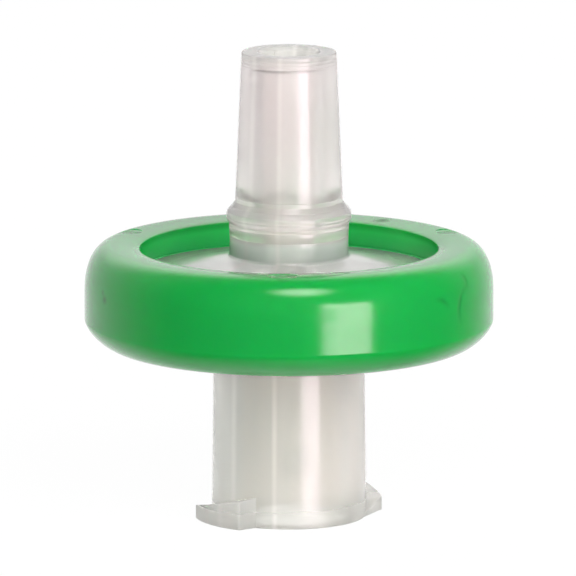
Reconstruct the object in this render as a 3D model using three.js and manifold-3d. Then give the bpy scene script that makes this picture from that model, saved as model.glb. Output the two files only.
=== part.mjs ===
// A 13 mm syringe filter: two clear half shells with luer ends, the filter disc
// clamped between them, and the ring that is moulded round both flanges.
// Millimetres, +Z up. The part stands on the open end of its female luer lock.
import * as THREE from "three";
import Module from "manifold-3d";

const wasm = await Module();
wasm.setup();

// ---- across the ring, from its outside inwards ----
const STEPS = 72; // facets round the axis, the same for every turned piece
const RING_R = 8.52;
const RING_COVER = 1.22; // ring outside the flanges
const RING_WIDTH = 2.22; // ring from its outside to the inner wall of its rims
const LEDGE_WIDTH = 0.4; // thin ledge inside each rim, on the flange
const CREST_IN = 1.6; // crest of the upper rim, in from the outside
const FOOT_IN = 1.16; // outer edge of the lower rim's flat
const FLANGE_R = RING_R - RING_COVER;
const WINDOW_R = RING_R - RING_WIDTH;
const CHAMBER_R = WINDOW_R - LEDGE_WIDTH; // wetted radius
const CREST_R = RING_R - CREST_IN;
const FOOT_R = RING_R - FOOT_IN;

// ---- levels of the clamped stack, from the bottom ----
const SOCKET_DEPTH = 7.5;
const UNDERSIDE_Z = SOCKET_DEPTH + 0.7; // outer face of the inlet plate
const LEDGE_STEP = 0.1; // flanges lie this far under the plates' outer faces
const LEDGE_PROUD = 0.07; // ledges stand this far over the plates' outer faces
const FLANGE_BOTTOM_Z = UNDERSIDE_Z + LEDGE_STEP;
const LOWER_FLANGE = 0.92; // thickness at the rim
const UPPER_FLANGE = 0.73; // thickness at the clamped edge
const LAND_Z = FLANGE_BOTTOM_Z + LOWER_FLANGE; // carries the disc and the upper flange
const DISC_THICKNESS = 0.15;
const CLAMP_Z = LAND_Z + DISC_THICKNESS; // outlet land, on top of the disc
const FLANGE_TOP_Z = CLAMP_Z + UPPER_FLANGE;
const TOPSIDE_Z = FLANGE_TOP_Z + LEDGE_STEP; // outer face of the outlet plate's rim
const CHAMBER_DEPTH = 0.32; // inlet side, under the disc
const DRAIN_DEPTH = 0.35; // outlet side, over the disc
const INLET_FLOOR_Z = LAND_Z - CHAMBER_DEPTH;
const DRAIN_CEILING_Z = CLAMP_Z + DRAIN_DEPTH;

// ---- filter disc ----
const CLAMP_WIDTH = 0.6; // pinched edge of the disc
const SEAT_GAP = 0.05; // between the disc's edge and the wall that centres it
const DISC_R = CHAMBER_R + CLAMP_WIDTH;

// ---- female luer lock (inlet) ----
const LUER_TAPER = 0.06; // change of diameter per length, the standard six per cent
const SOCKET_MOUTH_R = 2.15;
const SOCKET_FLOOR_R = SOCKET_MOUTH_R - (LUER_TAPER / 2) * SOCKET_DEPTH;
const BARREL_FOOT_R = 3.227;
const BARREL_DRAFT = 0.082; // how much slimmer the barrel is where it meets the plate
const BARREL_TOP_R = BARREL_FOOT_R - BARREL_DRAFT;
const BARREL_FILLET = 0.3;
const INLET_HOLE_R = 0.75;

// ---- lock lugs ----
const LUG_COUNT = 2;
const LUG_REACH = 0.773; // how far a lug stands out of the barrel
const LUG_TIP_R = BARREL_FOOT_R + LUG_REACH;
const LUG_WIDTH = 3.1;
const LUG_ANGLE = 36; // degrees from +X to the middle of the first lug
const LUG_THIN = 0.58; // thickness at the leading corner
const LUG_LEAD = 5; // rise of the lug's helical face in one turn
const LUG_STEPS = 8;
const LUG_ROOT_X = BARREL_FOOT_R - 0.63; // inner end of a lug, inside the barrel's wall
const LUG_LEAD_IN = 50; // degrees from the lug's middle to where its leading flank runs out
const LEAD_IN_HEIGHT = 0.1; // height of the flank at its run-out

// ---- outlet plate and the collar over it ----
const PLATE_INSET = 1; // flat rim of each plate, inside the chamber's radius
const PLATE_EDGE_R = CHAMBER_R - PLATE_INSET;
const PLATE_STEP = 0.13; // edge of the plate's cone over its flat rim
const PLATE_RISE = 0.65; // height of that cone
const PLATE_EDGE_Z = TOPSIDE_Z + PLATE_STEP;
const PLATE_CROWN_Z = PLATE_EDGE_Z + PLATE_RISE;
const WAIST_R = 2.47;
const COLLAR_PROUD = 0.13; // band of the collar beyond its waist
const COLLAR_R = WAIST_R + COLLAR_PROUD;
const COLLAR_FOOT_Z = PLATE_CROWN_Z + 1.64;
const COLLAR_TOP_Z = COLLAR_FOOT_Z + 0.2;
const COLLAR_SLOPE = 0.52; // height of the shoulder between the band and the cone

// ---- male luer slip (outlet) ----
const CONE_FOOT_Z = COLLAR_TOP_Z + COLLAR_SLOPE;
const CONE_LENGTH = 6.26;
const FULL_HEIGHT = CONE_FOOT_Z + CONE_LENGTH;
const TIP_R = 1.978;
const CONE_FOOT_R = 2.245;
const TIP_EDGE = 0.09; // rounding of the tip's outer edge
const TIP_BORE_R = 1.105;
const MOUTH_R = TIP_BORE_R + 0.095;
const MOUTH_DEPTH = 0.65;
const BORE_DRAFT = 0.05; // how much slimmer each length of bore is at its lower end
const THROAT_R = 0.7;
const THROAT_Z = CONE_FOOT_Z + 0.24;
const FUNNEL = 0.8; // height over which the bore narrows to the throat

// ---- flow ribs inside ----
const INLET_RIBS = 8;
const OUTLET_RIBS = 12;
const RIB_WIDTH = 0.34;
const RIB_ROOT = 0.1; // how far a rib reaches into the wall it grows from
const RIB_END_GAP = 0.25; // free way between the ribs and the chamber's wall
const HUB_GAP = 0.5; // free way between the ribs and the central hole
const RING_CHANNEL = 0.35; // ring-shaped channels that cut the outlet ribs
const INLET_RIB_GAP = 0.1; // free height between the inlet ribs and the disc

// ---- overmoulded ring ----
const LOWER_RIM = 1; // how far the lower rim reaches below the flanges
const UPPER_RIM = 1.45; // how far the upper rim reaches above them
const FOOT_Z = FLANGE_BOTTOM_Z - LOWER_RIM;
const CREST_Z = FLANGE_TOP_Z + UPPER_RIM;
const SIDE_BOTTOM_Z = FOOT_Z + 1.06;
const SIDE_TOP_Z = CREST_Z - 2.05;
const CREST_POWER = 2.5; // fullness of the rounding over the crest
const FOOT_POWER = 1.47; // flatter than round: close to a chamfer
const INNER_ROUND = 0.45; // height of the rounding inside each rim
const ROUND_STEPS = 9;
const GATES = 3; // places where the ring's melt entered
const GATE_R = 0.47;
const GATE_OUT = 0.28; // middle of a gate mark, out from the crest
const GATE_TILT = 6; // degrees that the crest falls away under it
const GATE_ANGLE = 28;
const GATE_SIDES = 20;

// One turned solid from a closed profile of [radius, height] pairs, run counter-clockwise.
function turned(profile) {
  const points = profile.map(([r, z]) => new THREE.Vector2(r, z));
  if (profile[0][0] !== 0) points.push(points[0].clone());
  return new THREE.LatheGeometry(points, STEPS).rotateX(Math.PI / 2);
}

// A closed geometry as a manifold-3d solid, its vertices merged by position.
function solidOf(geometry) {
  const soup = geometry.index ? geometry.toNonIndexed() : geometry;
  const at = soup.getAttribute("position");
  const seen = new Map();
  const vertices = [];
  const corners = [];
  for (let i = 0; i < at.count; i++) {
    const p = [at.getX(i), at.getY(i), at.getZ(i)];
    const key = p.map((c) => Math.round(c * 1e5)).join();
    if (!seen.has(key)) {
      seen.set(key, seen.size);
      vertices.push(...p);
    }
    corners.push(seen.get(key));
  }
  const faces = [];
  for (let i = 0; i < corners.length; i += 3) {
    const [a, b, c] = corners.slice(i, i + 3);
    if (a !== b && b !== c && a !== c) faces.push(a, b, c);
  }
  const mesh = new wasm.Mesh({
    numProp: 3,
    vertProperties: new Float32Array(vertices),
    triVerts: new Uint32Array(faces),
  });
  return new wasm.Manifold(mesh);
}

// A manifold-3d solid as one named mesh.
function nodeOf(name, solid, material) {
  const mesh = solid.getMesh();
  const geometry = new THREE.BufferGeometry();
  geometry.setAttribute("position", new THREE.BufferAttribute(mesh.vertProperties, 3));
  geometry.setIndex(new THREE.BufferAttribute(mesh.triVerts, 1));
  geometry.computeVertexNormals();
  const node = new THREE.Mesh(geometry, new THREE.MeshStandardMaterial(material));
  node.name = name;
  return node;
}

// A quarter of a superellipse in the profile plane, from its side point to its crest or foot.
function rounded(side, end, power) {
  const points = [];
  for (let i = 0; i <= ROUND_STEPS; i++) {
    const t = (i / ROUND_STEPS) * (Math.PI / 2);
    const across = Math.max(Math.cos(t), 0) ** (2 / power);
    const along = Math.sin(t) ** (2 / power);
    points.push([
      end[0] + (side[0] - end[0]) * across,
      side[1] + (end[1] - side[1]) * along,
    ]);
  }
  return points;
}

// A flat rib on a radius, between two radii and two heights, at an angle in degrees.
function rib([from, to], bottom, top, angle) {
  const box = new THREE.BoxGeometry(to - from, RIB_WIDTH, top - bottom);
  box.translate((from + to) / 2, 0, (bottom + top) / 2);
  return solidOf(box.rotateZ(THREE.MathUtils.degToRad(angle)));
}

// Height of a lug's helical upper face at a point in the lug's own frame, +X through its middle.
function lugTop(x, y) {
  const leadingAngle = -Math.asin(LUG_WIDTH / 2 / LUG_TIP_R);
  return LUG_THIN + (LUG_LEAD / (2 * Math.PI)) * (Math.atan2(y, x) - leadingAngle);
}

// One section of a lug, across its radius from the root to the tip circle.
function lugSection(y) {
  const tipX = Math.sqrt(LUG_TIP_R ** 2 - y ** 2);
  return [
    [LUG_ROOT_X, y, 0],
    [tipX, y, 0],
    [tipX, y, lugTop(tipX, y)],
    [LUG_ROOT_X, y, lugTop(LUG_ROOT_X, y)],
  ];
}

// The leading flank slopes from the lug's side down to the barrel, so that a thread finds the lug.
function leadIn() {
  const angle = -THREE.MathUtils.degToRad(LUG_LEAD_IN);
  const at = (r, z) => [r * Math.cos(angle), r * Math.sin(angle), z];
  const outer = BARREL_FOOT_R - 0.02;
  const inner = BARREL_FOOT_R - 0.6;
  const runOut = [at(inner, 0), at(outer, 0), at(outer, LEAD_IN_HEIGHT), at(inner, LEAD_IN_HEIGHT)];
  return loft([runOut, lugSection(-LUG_WIDTH / 2)]);
}

// One lock lug: parallel sides, a tip on the lug circle, a flat foot and a helical upper face.
function lug(angle) {
  const sections = [];
  for (let i = 0; i <= LUG_STEPS; i++) {
    sections.push(lugSection(LUG_WIDTH * (i / LUG_STEPS - 0.5)));
  }
  const turn = THREE.MathUtils.degToRad(angle);
  return solidOf(loft(sections).rotateZ(turn)).add(solidOf(leadIn().rotateZ(turn)));
}

// Four-cornered sections joined one after another and closed at both ends.
function loft(sections) {
  const positions = [];
  const quad = (a, b, c, d) => positions.push(...a, ...b, ...c, ...a, ...c, ...d);
  for (let i = 0; i + 1 < sections.length; i++) {
    const [near, far] = [sections[i], sections[i + 1]];
    for (let k = 0; k < 4; k++) {
      const next = (k + 1) % 4;
      quad(near[k], far[k], far[next], near[next]);
    }
  }
  const [first, last] = [sections[0], sections[sections.length - 1]];
  quad(first[0], first[1], first[2], first[3]);
  quad(last[3], last[2], last[1], last[0]);
  const geometry = new THREE.BufferGeometry();
  geometry.setAttribute("position", new THREE.Float32BufferAttribute(positions, 3));
  return geometry;
}

// Female luer barrel, its plate and the lower flange, turned in one piece.
function inletBody() {
  const plateZ = UNDERSIDE_Z - BARREL_FILLET * 0.4;
  return solidOf(turned([
    [SOCKET_MOUTH_R, 0],
    [BARREL_FOOT_R, 0],
    [BARREL_TOP_R, UNDERSIDE_Z - BARREL_FILLET * 2.4],
    [BARREL_TOP_R + BARREL_FILLET * 0.25, UNDERSIDE_Z - BARREL_FILLET * 1.6],
    [BARREL_TOP_R + BARREL_FILLET, UNDERSIDE_Z - BARREL_FILLET],
    [PLATE_EDGE_R, plateZ],
    [PLATE_EDGE_R + LEDGE_STEP, UNDERSIDE_Z],
    [CHAMBER_R, UNDERSIDE_Z],
    [CHAMBER_R, FLANGE_BOTTOM_Z],
    [FLANGE_R, FLANGE_BOTTOM_Z],
    [FLANGE_R, LAND_Z],
    [CHAMBER_R, LAND_Z],
    [CHAMBER_R, INLET_FLOOR_Z],
    [INLET_HOLE_R, INLET_FLOOR_Z],
    [INLET_HOLE_R, SOCKET_DEPTH],
    [SOCKET_FLOOR_R, SOCKET_DEPTH],
  ]));
}

function inletShell() {
  let shell = inletBody();
  for (let i = 0; i < LUG_COUNT; i++) {
    shell = shell.add(lug(LUG_ANGLE + (360 / LUG_COUNT) * i));
  }
  const span = [INLET_HOLE_R + HUB_GAP, CHAMBER_R - RIB_END_GAP];
  for (let i = 0; i < INLET_RIBS; i++) {
    const top = LAND_Z - INLET_RIB_GAP;
    shell = shell.add(rib(span, INLET_FLOOR_Z - RIB_ROOT, top, (360 / INLET_RIBS) * i));
  }
  return shell;
}

// The stepped collar between the plate and the cone, run upwards.
function collarProfile() {
  return [
    [WAIST_R + 0.28, PLATE_CROWN_Z],
    [WAIST_R + 0.13, PLATE_CROWN_Z + 0.06],
    [WAIST_R + 0.03, PLATE_CROWN_Z + 0.24],
    [WAIST_R, PLATE_CROWN_Z + 0.62],
    [WAIST_R + 0.03, COLLAR_FOOT_Z - 0.18],
    [COLLAR_R - 0.03, COLLAR_FOOT_Z - 0.07],
    [COLLAR_R, COLLAR_FOOT_Z],
    [COLLAR_R, COLLAR_TOP_Z],
    [COLLAR_R - 0.03, COLLAR_TOP_Z + COLLAR_SLOPE * 0.22],
    [CONE_FOOT_R + 0.18, CONE_FOOT_Z - COLLAR_SLOPE * 0.46],
    [CONE_FOOT_R + 0.05, CONE_FOOT_Z - COLLAR_SLOPE * 0.15],
  ];
}

// Cone and rounded rim of the male luer, from its foot up to the mouth of the bore.
function tipProfile() {
  return [
    [CONE_FOOT_R, CONE_FOOT_Z],
    [TIP_R, FULL_HEIGHT - TIP_EDGE],
    [TIP_R - TIP_EDGE * 0.3, FULL_HEIGHT - TIP_EDGE * 0.3],
    [TIP_R - TIP_EDGE, FULL_HEIGHT],
    [MOUTH_R, FULL_HEIGHT],
  ];
}

// Bore from the mouth down to the drain, run downwards.
function boreProfile() {
  const mouthFoot = FULL_HEIGHT - MOUTH_DEPTH;
  return [
    [MOUTH_R - BORE_DRAFT / 2, mouthFoot],
    [TIP_BORE_R, mouthFoot - (MOUTH_R - TIP_BORE_R)],
    [TIP_BORE_R - BORE_DRAFT, THROAT_Z + FUNNEL],
    [THROAT_R, THROAT_Z],
    [THROAT_R - BORE_DRAFT, DRAIN_CEILING_Z],
  ];
}

function outletBody() {
  return solidOf(turned([
    [CHAMBER_R, DRAIN_CEILING_Z],
    [CHAMBER_R, CLAMP_Z],
    [DISC_R + SEAT_GAP, CLAMP_Z],
    [DISC_R + SEAT_GAP, LAND_Z],
    [FLANGE_R, LAND_Z],
    [FLANGE_R, FLANGE_TOP_Z],
    [CHAMBER_R, FLANGE_TOP_Z],
    [CHAMBER_R, TOPSIDE_Z],
    [PLATE_EDGE_R + LEDGE_STEP, TOPSIDE_Z],
    [PLATE_EDGE_R, PLATE_EDGE_Z],
    ...collarProfile(),
    ...tipProfile(),
    ...boreProfile(),
  ]));
}

// Three lengths of rib on each radius, with a ring-shaped channel between one length and the next.
function outletRibSpans() {
  const from = THROAT_R + HUB_GAP;
  const length = (CHAMBER_R - RIB_END_GAP - from - 2 * RING_CHANNEL) / 3;
  return [0, 1, 2].map((i) => {
    const start = from + i * (length + RING_CHANNEL);
    return [start, start + length];
  });
}

function outletShell() {
  let shell = outletBody();
  for (let i = 0; i < OUTLET_RIBS; i++) {
    for (const span of outletRibSpans()) {
      const top = DRAIN_CEILING_Z + RIB_ROOT;
      shell = shell.add(rib(span, CLAMP_Z, top, (360 / OUTLET_RIBS) * (i + 0.5)));
    }
  }
  return shell;
}

function filterDisc() {
  return solidOf(turned([
    [0, LAND_Z],
    [DISC_R, LAND_Z],
    [DISC_R, CLAMP_Z],
    [0, CLAMP_Z],
  ]));
}

// The ring's outside runs up from its foot over the crest; its inside grips both flanges.
function ringBody() {
  const innerFootR = WINDOW_R + INNER_ROUND * 1.1;
  const foot = rounded([RING_R, SIDE_BOTTOM_Z], [FOOT_R, FOOT_Z], FOOT_POWER).reverse();
  const crest = rounded([RING_R, SIDE_TOP_Z], [CREST_R, CREST_Z], CREST_POWER);
  const innerCrest = rounded([WINDOW_R, CREST_Z - INNER_ROUND], [CREST_R, CREST_Z], 2);
  const innerFoot = rounded([WINDOW_R, FOOT_Z + INNER_ROUND], [innerFootR, FOOT_Z], 2);
  return solidOf(turned([
    ...foot,
    ...crest,
    ...innerCrest.reverse().slice(1),
    [WINDOW_R, TOPSIDE_Z + LEDGE_PROUD],
    [CHAMBER_R, TOPSIDE_Z + LEDGE_PROUD],
    [CHAMBER_R, FLANGE_TOP_Z],
    [FLANGE_R, FLANGE_TOP_Z],
    [FLANGE_R, FLANGE_BOTTOM_Z],
    [CHAMBER_R, FLANGE_BOTTOM_Z],
    [CHAMBER_R, UNDERSIDE_Z - LEDGE_PROUD],
    [WINDOW_R, UNDERSIDE_Z - LEDGE_PROUD],
    ...innerFoot,
  ]));
}

// A gate mark: the flat round scar that the moulding's gate leaves beside the crest.
function gateMark(angle) {
  const disc = new THREE.CylinderGeometry(GATE_R * 0.85, GATE_R, INNER_ROUND, GATE_SIDES);
  disc.rotateX(Math.PI / 2).translate(0, 0, -INNER_ROUND / 2);
  disc.rotateY(THREE.MathUtils.degToRad(GATE_TILT)).translate(CREST_R + GATE_OUT, 0, CREST_Z);
  return solidOf(disc.rotateZ(THREE.MathUtils.degToRad(angle)));
}

function overmouldRing() {
  let ring = ringBody();
  for (let i = 0; i < GATES; i++) {
    ring = ring.add(gateMark(GATE_ANGLE + (360 / GATES) * i));
  }
  return ring;
}

const clear = { color: 0xd9dcd6, roughness: 0.28, metalness: 0 };
const white = { color: 0xf3f2ec, roughness: 0.85, metalness: 0 };
const green = { color: 0x1fa84a, roughness: 0.3, metalness: 0 };

const filter = new THREE.Group();
filter.add(nodeOf("inlet_shell", inletShell(), clear));
filter.add(nodeOf("outlet_shell", outletShell(), clear));
filter.add(nodeOf("membrane", filterDisc(), white));
filter.add(nodeOf("overmould_ring", overmouldRing(), green));

export default filter;
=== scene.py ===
# %% [markdown]
# # A syringe filter
# A syringe filter cleans a liquid on its way out of a syringe. The syringe locks into the wide end,
# the liquid spreads out under a thin filter disc, passes it, and leaves through the slim luer tip.
# The real one is four pieces: two clear polypropylene mouldings, the disc between them, and a green
# ring that is moulded round both and holds the stack together for good.
#
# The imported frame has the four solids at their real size. This script makes each of them
# again as a fine mesh with round edges, gives it its plastic, and lights it on a pale floor.

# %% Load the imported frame
import math

import bmesh
import bpy
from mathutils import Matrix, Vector


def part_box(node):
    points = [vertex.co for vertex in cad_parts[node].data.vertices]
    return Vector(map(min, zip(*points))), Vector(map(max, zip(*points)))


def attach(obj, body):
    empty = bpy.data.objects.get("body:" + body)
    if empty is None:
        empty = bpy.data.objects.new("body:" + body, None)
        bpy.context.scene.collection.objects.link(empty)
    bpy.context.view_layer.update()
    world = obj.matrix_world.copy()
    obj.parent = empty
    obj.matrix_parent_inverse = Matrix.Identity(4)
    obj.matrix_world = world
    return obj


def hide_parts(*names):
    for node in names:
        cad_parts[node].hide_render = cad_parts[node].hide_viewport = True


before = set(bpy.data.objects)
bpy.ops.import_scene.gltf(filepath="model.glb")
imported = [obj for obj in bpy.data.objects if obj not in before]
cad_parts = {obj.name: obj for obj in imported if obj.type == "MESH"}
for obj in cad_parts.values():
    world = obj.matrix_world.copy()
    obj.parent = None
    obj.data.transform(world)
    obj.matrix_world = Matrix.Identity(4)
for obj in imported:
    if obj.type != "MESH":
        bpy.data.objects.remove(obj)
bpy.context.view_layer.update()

MM = 0.001  # Blender works in metres, and the sizes below are in millimetres

# %% [markdown]
# ## Sizes
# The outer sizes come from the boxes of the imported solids, so that a part of another size is dressed
# to fit. What no box shows, such as a bore or a step, is a named value here.

# %% Outer sizes, read from the frame
CREST_DROP = 0.1  # the finely rounded crest lies this far under the solid's

ring_low, ring_high = [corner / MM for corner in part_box("overmould_ring")]
disc_low, disc_high = [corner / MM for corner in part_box("membrane")]
outlet_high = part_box("outlet_shell")[1] / MM

RING_R = ring_high.x
FOOT_Z = ring_low.z
CREST_Z = ring_high.z - CREST_DROP
FLANGE_R = outlet_high.x
LAND_Z = disc_low.z  # where the two clear mouldings meet
CLAMP_Z = disc_high.z
DISC_R = disc_high.x
FULL_HEIGHT = outlet_high.z
print(f"ring {2 * RING_R:.2f} mm across, filter {FULL_HEIGHT:.2f} mm tall, disc {2 * DISC_R:.2f} mm")

# %% Sizes that the boxes don't show, across
RIM_WIDTH = 2.3  # the ring's rims, from the outside to their inner wall
LEDGE_WIDTH = 0.12  # the thin ledge inside each rim, on the flange
CREST_IN = 1.15  # the crest, in from the outside
FOOT_IN = 1.16  # the outer edge of the foot's flat
CLEARANCE = 0.015  # between pieces that touch, so that light meets one surface at a time

WINDOW_R = RING_R - RIM_WIDTH
CHAMBER_R = WINDOW_R - LEDGE_WIDTH
CREST_R = RING_R - CREST_IN
FOOT_R = RING_R - FOOT_IN
print(f"window in the ring {2 * WINDOW_R:.2f} mm across, chamber {2 * CHAMBER_R:.2f} mm")

# %% Sizes that the boxes don't show, upwards
LOWER_FLANGE = 0.92  # thickness
UPPER_FLANGE = 0.73
LOWER_STEP = 0.1  # from a flange to the outer face of its plate
UPPER_STEP = 0.28
SOCKET_FLOOR = 0.7  # thickness of the plate at the socket's end
CHAMBER_DEPTH = 0.32
DRAIN_DEPTH = 0.35

FLANGE_BOTTOM_Z = LAND_Z - LOWER_FLANGE
FLANGE_TOP_Z = CLAMP_Z + UPPER_FLANGE
UNDERSIDE_Z = FLANGE_BOTTOM_Z - LOWER_STEP
TOPSIDE_Z = FLANGE_TOP_Z + UPPER_STEP
SOCKET_DEPTH = UNDERSIDE_Z - SOCKET_FLOOR
INLET_FLOOR_Z = LAND_Z - CHAMBER_DEPTH
DRAIN_CEILING_Z = CLAMP_Z + DRAIN_DEPTH
print(f"the flanges lie from {FLANGE_BOTTOM_Z:.2f} mm to {FLANGE_TOP_Z:.2f} mm up")

# %% [markdown]
# ## Turning a piece
# The mouldings are round, so each starts as a circle on its axis. The circle is extruded and resized
# from one point of the piece's outline to the next, until it is back where it began. A screw
# modifier would do it too; this way each step is one that a hand could take, and it leaves the clean
# rings of four-sided faces that smooth shading and refraction need.
#
# Moulds have no sharp corners, so the outline is eased first: each corner becomes a small arc.

# %% Easing the corners of an outline
ARC_STEPS = 4
SMOOTH_TURN = math.radians(24)  # a corner that turns less than this is already part of a curve
MOST_CUT = 0.45  # of a side, so that the cuts of its two corners never meet


def eased(outline, radius):
    """The outline with each corner cut back to an arc of about this radius, in mm."""
    points = [Vector(point) for point in outline]
    result = []
    for before, corner, after in zip(points[-1:] + points[:-1], points, points[1:] + points[:1]):
        back, ahead = before - corner, after - corner
        turn = math.pi - back.angle(ahead)
        if turn < SMOOTH_TURN:
            result.append(corner)
            continue
        cut = min(radius * math.tan(turn / 2), MOST_CUT * back.length, MOST_CUT * ahead.length)
        start, end = corner + back.normalized() * cut, corner + ahead.normalized() * cut
        for step in range(ARC_STEPS + 1):
            t = step / ARC_STEPS
            result.append(start * (1 - t) ** 2 + corner * 2 * t * (1 - t) + end * t ** 2)
    return [tuple(point) for point in result]


# %% [markdown]
# Smooth shading bends the light over a whole face. A long wall would look swollen next to a small
# rounding, so it gets one more ring of points close to each of its ends.

# %% Holding long walls straight
LONG_WALL = 0.5
HOLD = 0.03  # from the end of a wall to the ring that holds it


def held(outline):
    """The outline with a point close to each end of a long stretch, so that it shades straight."""
    result = []
    for start, end in zip(outline, outline[1:] + outline[:1]):
        start, end = Vector(start), Vector(end)
        result.append(tuple(start))
        if (end - start).length > LONG_WALL:
            inset = (end - start).normalized() * HOLD
            result.append(tuple(start + inset))
            result.append(tuple(end - inset))
    return result


square = eased([(1, 0), (2, 0), (2, 1), (1, 1)], 0.1)
print(f"a square has {len(square)} points once eased, and {len(held(square))} once held")

# %% Turning an outline into a solid
TURN_STEPS = 192  # points round the axis
WELD = 0.000001  # metres


def fresh(*pieces):
    """Leaves only these pieces selected, and the first one active."""
    bpy.ops.object.select_all(action="DESELECT")
    for piece in reversed(pieces):
        piece.select_set(True)
        bpy.context.view_layer.objects.active = piece


def turned(name, outline):
    """A solid of revolution from a closed outline of (radius, height) points in mm."""
    fresh()
    outline = held(outline)
    radius, height = outline[0]
    bpy.ops.mesh.primitive_circle_add(
        vertices=TURN_STEPS, radius=radius * MM, location=(0, 0, height * MM)
    )
    piece = bpy.context.object
    piece.name = piece.data.name = name
    bpy.ops.object.transform_apply(location=True)
    bpy.ops.object.mode_set(mode="EDIT")
    bpy.ops.mesh.select_all(action="SELECT")
    for (radius, height), (next_radius, next_height) in zip(outline, outline[1:] + outline[:1]):
        step = (0, 0, (next_height - height) * MM)
        bpy.ops.mesh.extrude_edges_move(TRANSFORM_OT_translate={"value": step})
        share = next_radius / radius
        bpy.ops.transform.resize(value=(share, share, 1), center_override=(0, 0, 0))
    weld()
    bpy.ops.object.mode_set(mode="OBJECT")
    return piece


def weld():
    """Joins vertices that lie on each other, then turns all faces outwards."""
    bpy.ops.mesh.select_all(action="SELECT")
    bpy.ops.mesh.remove_doubles(threshold=WELD)
    bpy.ops.mesh.normals_make_consistent(inside=False)


# %% [markdown]
# An operator acts on what is selected. The faces to work on are found by their place, and never by
# their number, which changes with every step.

# %% Picking by place
TOUCH = 0.01  # mm, how near counts as there


def pick(piece, test):
    """Leaves selected the vertices whose place in mm passes the test, with the faces between them."""
    bpy.ops.mesh.select_mode(type="VERT")
    bpy.ops.mesh.select_all(action="DESELECT")
    mesh = bmesh.from_edit_mesh(piece.data)
    for vertex in mesh.verts:
        vertex.select_set(bool(test(vertex.co / MM)))
    mesh.select_flush(True)
    bmesh.update_edit_mesh(piece.data)


# %% [markdown]
# Ribs, lugs and marks repeat round the axis. Each is modelled once, copied, and united with its
# moulding by a boolean modifier, because a mould gives them no seam between them.

# %% Copying round the axis, and fusing
def around(piece, angles):
    """Copies a piece round the axis, one to each angle in degrees, each with its own mesh."""
    copies = []
    for angle in angles:
        fresh(piece)
        bpy.ops.object.duplicate(linked=False)
        bpy.context.object.rotation_euler.z = math.radians(angle)
        bpy.ops.object.transform_apply()
        copies.append(bpy.context.object)
    bpy.data.objects.remove(piece)
    return copies


def fuse(piece, tools, operation="UNION"):
    """Joins the tools into one mesh and unites that with the piece, or cuts it away."""
    fresh(*tools)
    if len(tools) > 1:
        bpy.ops.object.join()
    bpy.context.view_layer.objects.active = piece
    step = piece.modifiers.new(operation.lower(), "BOOLEAN")
    step.operation = operation
    step.solver = "EXACT"
    step.object = tools[0]
    bpy.ops.object.modifier_apply(modifier=step.name)
    bpy.data.objects.remove(tools[0])
    print(f"{piece.name}: {len(piece.data.polygons)} faces after a {operation.lower()}")


# %% [markdown]
# A finished piece is shaded smooth except over its sharp edges. It then rides on the part's body, and
# stands in for the imported solid that it was made after.

# %% Finishing a piece
SHARP = math.radians(32)  # edges that turn more than this stay sharp


def finish(piece, slot, *nodes):
    """Smooths a piece, seats it on the frame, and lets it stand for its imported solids."""
    fresh(piece)
    bpy.ops.object.shade_smooth_by_angle(angle=SHARP)
    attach(piece, "root")
    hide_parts(*nodes)
    triangles = sum(len(face.vertices) - 2 for face in piece.data.polygons)
    print(f"{piece.name}: {triangles} triangles, {piece.dimensions.z / MM:.2f} mm tall")


# %% [markdown]
# ## The lower moulding
# This is the inlet: a barrel with a tapered socket that a syringe tip wedges into, two lugs that
# lock into the syringe's thread, and a plate with a flange that the disc is clamped against. It is
# turned in one go, up to the flange and back down the socket.

# %% Sizes of the barrel, the socket and the plate
LUER_TAPER = 0.06  # change of width per length, the standard six per cent
SOCKET_MOUTH_R = 2.15
SOCKET_FLOOR_R = SOCKET_MOUTH_R - LUER_TAPER / 2 * SOCKET_DEPTH
BARREL_FOOT_R = 3.227
BARREL_DRAFT = 0.082  # how much slimmer the barrel is where it meets the plate
BARREL_TOP_R = BARREL_FOOT_R - BARREL_DRAFT
BARREL_FILLET = 0.3
FILLET_START = 2.4 * BARREL_FILLET  # the rounding into the plate starts this far down the barrel
FILLET_BEND = (0.25 * BARREL_FILLET, 1.6 * BARREL_FILLET)  # its middle, out from the barrel and down
MARGIN_FALL = 0.4 * BARREL_FILLET  # the lower plate's cone ends this far under its margin
INLET_HOLE_R = 0.75
PLATE_INSET = 1  # flat margin of each plate
PLATE_EDGE_R = CHAMBER_R - PLATE_INSET
EDGE_STEP = 0.1  # width of the small slope between a plate's cone and its margin
EDGE = 0.06  # corner radius of the clear mouldings
print(f"socket {2 * SOCKET_MOUTH_R:.2f} mm wide at its mouth, {2 * SOCKET_FLOOR_R:.2f} mm at its floor")

# %% Barrel, plate and socket
hidden_r = FLANGE_R - CLEARANCE  # both flanges end inside the ring
inlet_outline = [  # from the socket's mouth up the outside, round the flange, and down the socket
    (SOCKET_MOUTH_R, 0),
    (BARREL_FOOT_R, 0),
    (BARREL_TOP_R, UNDERSIDE_Z - FILLET_START),
    (BARREL_TOP_R + FILLET_BEND[0], UNDERSIDE_Z - FILLET_BEND[1]),
    (BARREL_TOP_R + BARREL_FILLET, UNDERSIDE_Z - BARREL_FILLET),
    (PLATE_EDGE_R, UNDERSIDE_Z - MARGIN_FALL),
    (PLATE_EDGE_R + EDGE_STEP, UNDERSIDE_Z),
    (CHAMBER_R - CLEARANCE, UNDERSIDE_Z),
    (CHAMBER_R - CLEARANCE, FLANGE_BOTTOM_Z + CLEARANCE),
    (hidden_r, FLANGE_BOTTOM_Z + CLEARANCE),
    (hidden_r, LAND_Z - CLEARANCE),
    (CHAMBER_R, LAND_Z - CLEARANCE),
    (CHAMBER_R, INLET_FLOOR_Z),
    (INLET_HOLE_R, INLET_FLOOR_Z),
    (INLET_HOLE_R, SOCKET_DEPTH),
    (SOCKET_FLOOR_R, SOCKET_DEPTH),
]
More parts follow.
